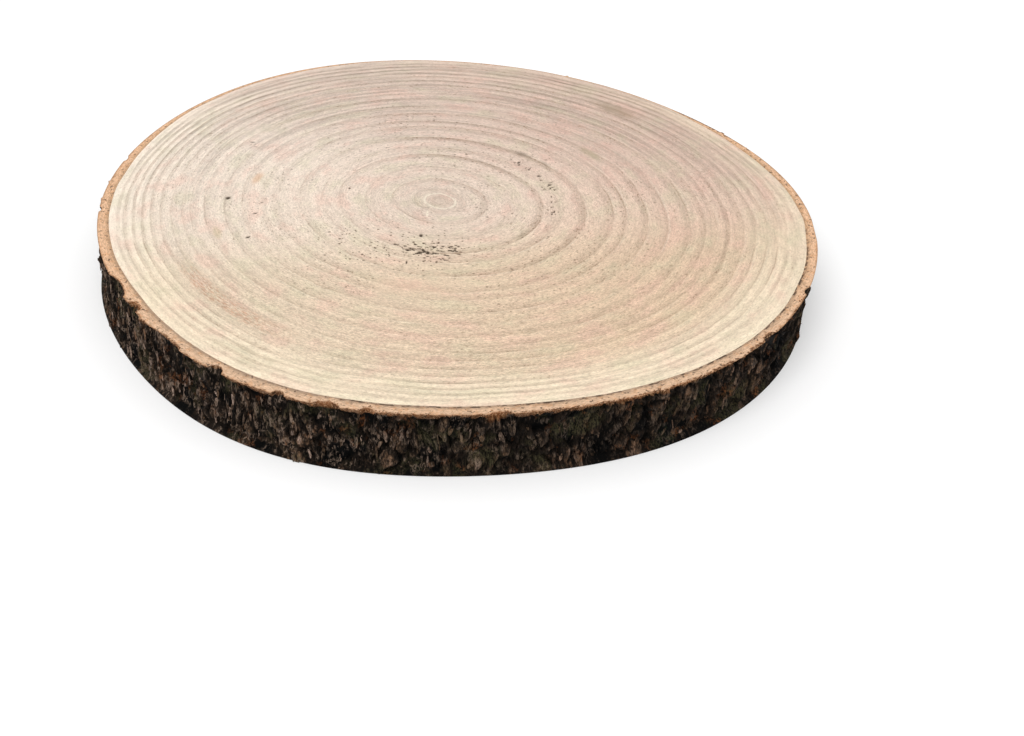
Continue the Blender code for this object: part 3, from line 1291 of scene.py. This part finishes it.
# %% Outer bark finish
# The blackest colour below also stands for painted shade in the fissures, and the lilac and fibre
# colours for painted highlight on the left flank, over real grey flakes and fibres.
FISSURE_SHADE_BLACK = (0.0070, 0.0045, 0.0030)
BARK_BROWN = (0.0900, 0.0500, 0.0290)
BARK_UMBER = (0.0520, 0.0320, 0.0190)
LILAC_FLAKE_HIGHLIGHT = (0.2200, 0.1570, 0.1260)
FIBRE_HIGHLIGHT = (0.3000, 0.2170, 0.1640)
BARK_OLIVE = (0.0780, 0.0700, 0.0330)
BARK_RUST = (0.1700, 0.0620, 0.0220)
AMBER = (0.4200, 0.1620, 0.0600)
GOLD = (0.6600, 0.3800, 0.1800)
TORN_TAN = (0.5200, 0.3200, 0.1900)


def flake_tint(tree, place, left, open_share, flake):
    """Painted shade, nearly black, in the fissures, brown or umber on the flakes, and grey-lilac on
    some flakes, brightened on the left as painted highlight.
    """
    rough = times(tree, speckle(tree, place, 620, 4, 0.8), 1.7)
    lit = times(tree, open_share, rough)
    warm = step(tree, speckle(tree, place, 90, 3), 0.40, 0.60)
    open_tint = blended(tree, warm, BARK_UMBER, BARK_BROWN)
    # Nearly black where the surface is least open: the bark's dark colour with painted shade in the
    # fissures.
    tint = blended(tree, step(tree, lit, 0.30, 0.95), FISSURE_SHADE_BLACK, open_tint)
    # Grey-lilac on open flakes, three times as strong on the left: real grey flakes, with painted
    # highlight on the lit left flank.
    pale = times(tree, step(tree, flake, 0.55, 0.90), step(tree, lit, 0.50, 0.95))
    return blended(tree, times(tree, pale, left), tint, LILAC_FLAKE_HIGHLIGHT)


def strands(tree, x, y, z):
    """Thin crisp strokes where a noise crosses its middle, mostly upright, that come and go."""
    slim = joined(tree, x, y, times(tree, z, 0.34))
    from_middle = minus(tree, speckle(tree, slim, 520, 2, 0.6, 0.8), 0.5)
    away = sums(tree, "ABSOLUTE", from_middle)
    seen = step(tree, speckle(tree, joined(tree, x, y, z), 210, 2), 0.46, 0.58)
    return times(tree, step(tree, away, 0.060, 0.015), seen)


def add_growths(tree, place, grain, tint):
    """Olive algae and rust, each in patches."""
    algae = step(tree, speckle(tree, place, 75, 3), 0.50, 0.68, 0.0, 0.60)
    algae = times(tree, algae, step(tree, grain, 0.40, 0.60))
    tint = blended(tree, algae, tint, BARK_OLIVE)
    fallen = step(tree, speckle(tree, place, 130, 3), 0.56, 0.70, 0.0, 0.70)
    fallen = times(tree, fallen, step(tree, grain, 0.44, 0.60))
    return blended(tree, fallen, tint, BARK_RUST)


def outer_bark_finish():
    material, tree, shader = new_finish("dark_outer_bark", 0.85, 0.10)
    place = object_place(tree)
    x, y, z = split(tree, place)
    upright = joined(tree, x, y, times(tree, z, 0.36))
    grain = speckle(tree, upright, 1500, 3, 0.8)
    # left: the lit left flank, where lilac flakes and fibre strokes get painted highlight.
    left = step(tree, towards(tree, x, y, 215), 0.02, 0.13, 0.30, 0.90)
    tint = flake_tint(tree, upright, left, stored(tree, "open"), stored(tree, "flake"))
    tint = shaded(tree, tint, step(tree, grain, 0.34, 0.66, 0.12, 2.25))
    tint = shaded(tree, tint, sums(tree, "MULTIPLY_ADD", stored(tree, "draw"), 0.8, 0.6))
    fibres = speckle(tree, joined(tree, x, y, times(tree, z, 0.22)), 1500, 2, 0.6)
    fibres = sums(tree, "MAXIMUM", step(tree, fibres, 0.58, 0.70, 0.0, 0.5), strands(tree, x, y, z))
    # Fibre strokes show only on open bark on the left: real fibres, drawn pale as painted highlight.
    lit = step(tree, stored(tree, "open"), 0.20, 0.60, 0.0, 0.62)
    fibres = times(tree, fibres, times(tree, left, lit))
    tint = blended(tree, fibres, tint, FIBRE_HIGHLIGHT)
    tint = add_growths(tree, place, grain, tint)
    amber = times(tree, stored(tree, "amber"), step(tree, grain, 0.30, 0.55, 0.30, 1.0))
    amber_tint = blended(tree, step(tree, grain, 0.50, 0.66), AMBER, GOLD)
    tint = blended(tree, amber, tint, amber_tint)
    torn = stored(tree, "torn")
    ragged = times(tree, minus(tree, grain, 0.5), 2.4)
    ragged = step(tree, plus(tree, torn, ragged), 0.30, 0.60)
    torn = times(tree, step(tree, torn, 0.0, 0.1), ragged)
    tint = blended(tree, torn, tint, TORN_TAN)
    tree.links.new(tint, shader.inputs["Base Color"])
    bump(tree, shader, grain, 0.0005)
    return material


DARK_BARK = outer_bark_finish()
print("Outer bark finish has", len(DARK_BARK.node_tree.nodes), "nodes")

# %% [markdown]
# ## The outer bark
#
# One closed ring is rolled up: the wall in many rows, a narrow cut edge at the top and at the
# foot, and a plain inner side that never shows. Each wall point is pushed out or in by the relief.
# Amber places round the upper edge are listed by where they lie, how wide they are, how far down
# they reach and how strong they are.

# %% Roll up the outer bark
WALL_ROWS = 36
CUT_WIDTH = 0.001
INNER_SIDE = 0.0052
INNER_SIDE_DROP = 0.006
HIDDEN_OPEN = 0.6
HIDDEN_DRAW = 0.3
AMBER_LINE = 0.42
AMBER_LINE_REACH = 0.0011
TORN_REACH = 0.0012
TORN_LIMIT = 0.0004
TORN_LEAST = 0.36
AMBER_PLACES = (
    (210.5, 2.2, 0.0035, 0.95),
    (224, 3.0, 0.0012, 0.35),
    (252.5, 2.0, 0.0035, 0.85),
    (259, 1.6, 0.0020, 0.80),
    (262, 1.8, 0.0016, 0.70),
    (266, 2.0, 0.0012, 0.60),
    (277.5, 1.6, 0.0042, 0.95),
    (283, 4.0, 0.0016, 0.55),
    (290, 4.0, 0.0018, 0.55),
    (297, 4.0, 0.0022, 0.75),
    (304, 4.0, 0.0020, 0.70),
    (312, 5.0, 0.0014, 0.45),
    (333.5, 1.2, 0.0025, 0.80),
)


def amber_at(turn, height):
    """How amber the bark is here: a little all along the upper edge, and more at its amber places."""
    below = THICKNESS - height
    amber = AMBER_LINE * max(0.0, 1 - below / AMBER_LINE_REACH)
    for degrees, half_width, reach, strength in AMBER_PLACES:
        away = abs((math.degrees(turn) - degrees + 180) % 360 - 180)
        across = max(0.0, 1 - (away / half_width) ** 2)
        amber = max(amber, strength * across * max(0.0, 1 - below / reach) ** 0.5)
    return amber


def torn_at(turn, height):
    """How far the wall shows torn tan bark here: along its top where no dark edge is left."""
    bare = max(0.0, 1 - along_rim(DARK_EDGES, turn) / TORN_LIMIT)
    return max(0.0, 1 - (THICKNESS - height) / TORN_REACH) * (TORN_LEAST + (1 - TORN_LEAST) * bare)


def outer_bark_ring():
    wall = [(TOP_RADIUS, THICKNESS * (1 - row / WALL_ROWS)) for row in range(WALL_ROWS + 1)]
    cut = TOP_RADIUS - CUT_WIDTH
    inner = TOP_RADIUS - INNER_SIDE
    inner_wall = [(inner, INNER_SIDE_DROP), (inner, THICKNESS - INNER_SIDE_DROP)]
    bm = rolled(wall + [(cut, 0)] + inner_wall + [(cut, THICKNESS)], RIM_STEPS, closed=True)
    layers = number_layers(bm, "open", "draw", "flake", "amber", "torn")
    open_layer, draw_layer, flake_layer, amber_layer, torn_layer = layers
    for vert in bm.verts:
        number = rim_number(vert)
        turn = RIM_TURNS[number]
        height = vert.co.z
        drawn = math.hypot(vert.co.x, vert.co.y)
        vert[open_layer] = HIDDEN_OPEN
        vert[draw_layer] = HIDDEN_DRAW
        if drawn > TOP_RADIUS - CUT_WIDTH / 2:
            out, vert[open_layer], vert[draw_layer], vert[flake_layer] = relief_at(turn, height)
            radius = outline_at(turn, height) + out
        elif drawn > inner + CUT_WIDTH:
            radius = (UPPER_TAN_EDGE if height > THICKNESS / 2 else LOWER_TAN_EDGE)[number]
        else:
            radius = outline_at(turn, height) - INNER_SIDE
        vert[amber_layer] = amber_at(turn, height)
        vert[torn_layer] = torn_at(turn, height)
        vert.co = rim_point(turn, radius, height)
    bmesh.ops.recalc_face_normals(bm, faces=bm.faces)
    return finished_piece(bm, "outer_bark", DARK_BARK)


outer_bark_ring()

# %% [markdown]
# ## Loose scales
#
# Old bark sheds its surface in thin scales that bend away from it at one end. Each is a small
# grid, bent round the wall and narrowed to its ends. One solidify over the whole mesh then
# turns every grid into a closed shell. Nearly half of them are drawn for the front left, where
# most of the bark is shed, and the rest are scattered all round.

# %% Bent plates on the wall
SCALE_SEED = 23
SCALE_COUNT = 760
SCALE_THICKNESS = 0.00025
SCALE_WIDTHS = (0.0008, 0.0021)
SCALE_LENGTHS = (0.0024, 0.0070)
SCALE_PLACES = (0.0015, THICKNESS - 0.0060)
SCALE_LEAN = 0.18
LIFTS = (0, 0.0005)
SHED_SIDE = (218, 26)
SHED_SHARE = 0.45
PLATE_SINK = 0.0004
PLATE_SEAT = 0.00005
SCALE_COLUMNS = 3
SCALE_ROWS = 4


def start_plates(seed):
    """A seeded draw, an empty mesh, and the numbers that every plate carries."""
    bm = bmesh.new()
    return random.Random(seed), bm, number_layers(bm, "open", "draw", "flake", "amber")


def finished_plates(bm, name):
    """Gives all the plates their thickness at once."""
    bmesh.ops.solidify(bm, geom=bm.faces[:], thickness=SCALE_THICKNESS)
    bmesh.ops.recalc_face_normals(bm, faces=bm.faces)
    return finished_piece(bm, name, DARK_BARK)


def add_plate(bm, layers, values, turn, height, size, lean, lift):
    """A plate on the wall, of this width and height, that leans and lifts off at its top end."""
    grid = bmesh.ops.create_grid(bm, x_segments=SCALE_COLUMNS, y_segments=SCALE_ROWS, size=0.5)
    seat = relief_at(turn, height)[0]
    for vert in grid["verts"]:
        across, up = vert.co.x, vert.co.y
        narrow = 1 - 2.2 * up * up
        vert_turn = turn + (across * narrow * size[0] + up * size[1] * lean) / TOP_RADIUS
        vert_height = min(THICKNESS, max(0.0, height + up * size[1]))
        curl = lift * (up + 0.5) ** 2 - PLATE_SINK * (2 * across) ** 2
        radius = outline_at(vert_turn, vert_height) + seat + PLATE_SEAT + curl
        vert.co = rim_point(vert_turn, radius, vert_height)
        for layer, value in zip(layers, values):
            vert[layer] = value


def loose_scales():
    draw, bm, layers = start_plates(SCALE_SEED)
    for _ in range(SCALE_COUNT):
        on_left = draw.random() < SHED_SHARE
        degrees = draw.gauss(*SHED_SIDE) if on_left else draw.uniform(0, 360)
        height = draw.uniform(*SCALE_PLACES)
        size = (draw.uniform(*SCALE_WIDTHS), draw.uniform(*SCALE_LENGTHS))
        values = (draw.uniform(0.7, 1.0), draw.random(), draw.uniform(0.3, 1.0), 0.0)
        lean = draw.gauss(0, SCALE_LEAN)
        lift = draw.uniform(*LIFTS)
        add_plate(bm, layers, values, math.radians(degrees), height, size, lean, lift)
    return finished_plates(bm, "bark_scales")


loose_scales()

# %% [markdown]
# ## Torn shreds
#
# The saw tore fibres of the bark out along the upper edge. They are the same bent plates, only
# smaller and amber, and they stand on the places that were listed for the amber: a fringe at the
# front and a few alone on the left.

# %% Shreds along the upper edge
SHRED_SEED = 31
SHREDS_PER_DEGREE = 2.6
SHRED_WIDTHS = (0.0005, 0.0013)
SHRED_LENGTHS = (0.0010, 0.0014)
SHRED_LEAN = 0.5


def torn_shreds():
    draw, bm, layers = start_plates(SHRED_SEED)
    for degrees, half_width, reach, strength in AMBER_PLACES:
        for _ in range(round(2 * half_width * SHREDS_PER_DEGREE)):
            turn = math.radians(draw.uniform(degrees - half_width, degrees + half_width))
            longest = max(SHRED_LENGTHS[1], reach)
            size = (draw.uniform(*SHRED_WIDTHS), draw.uniform(SHRED_LENGTHS[0], longest))
            values = (1.0, draw.random(), 0.3, draw.uniform(0.3, 1.0) * strength)
            lean = draw.gauss(0, SHRED_LEAN)
            lift = draw.uniform(*LIFTS)
            add_plate(bm, layers, values, turn, THICKNESS - size[1] / 2, size, lean, lift)
    return finished_plates(bm, "bark_shreds")


torn_shreds()
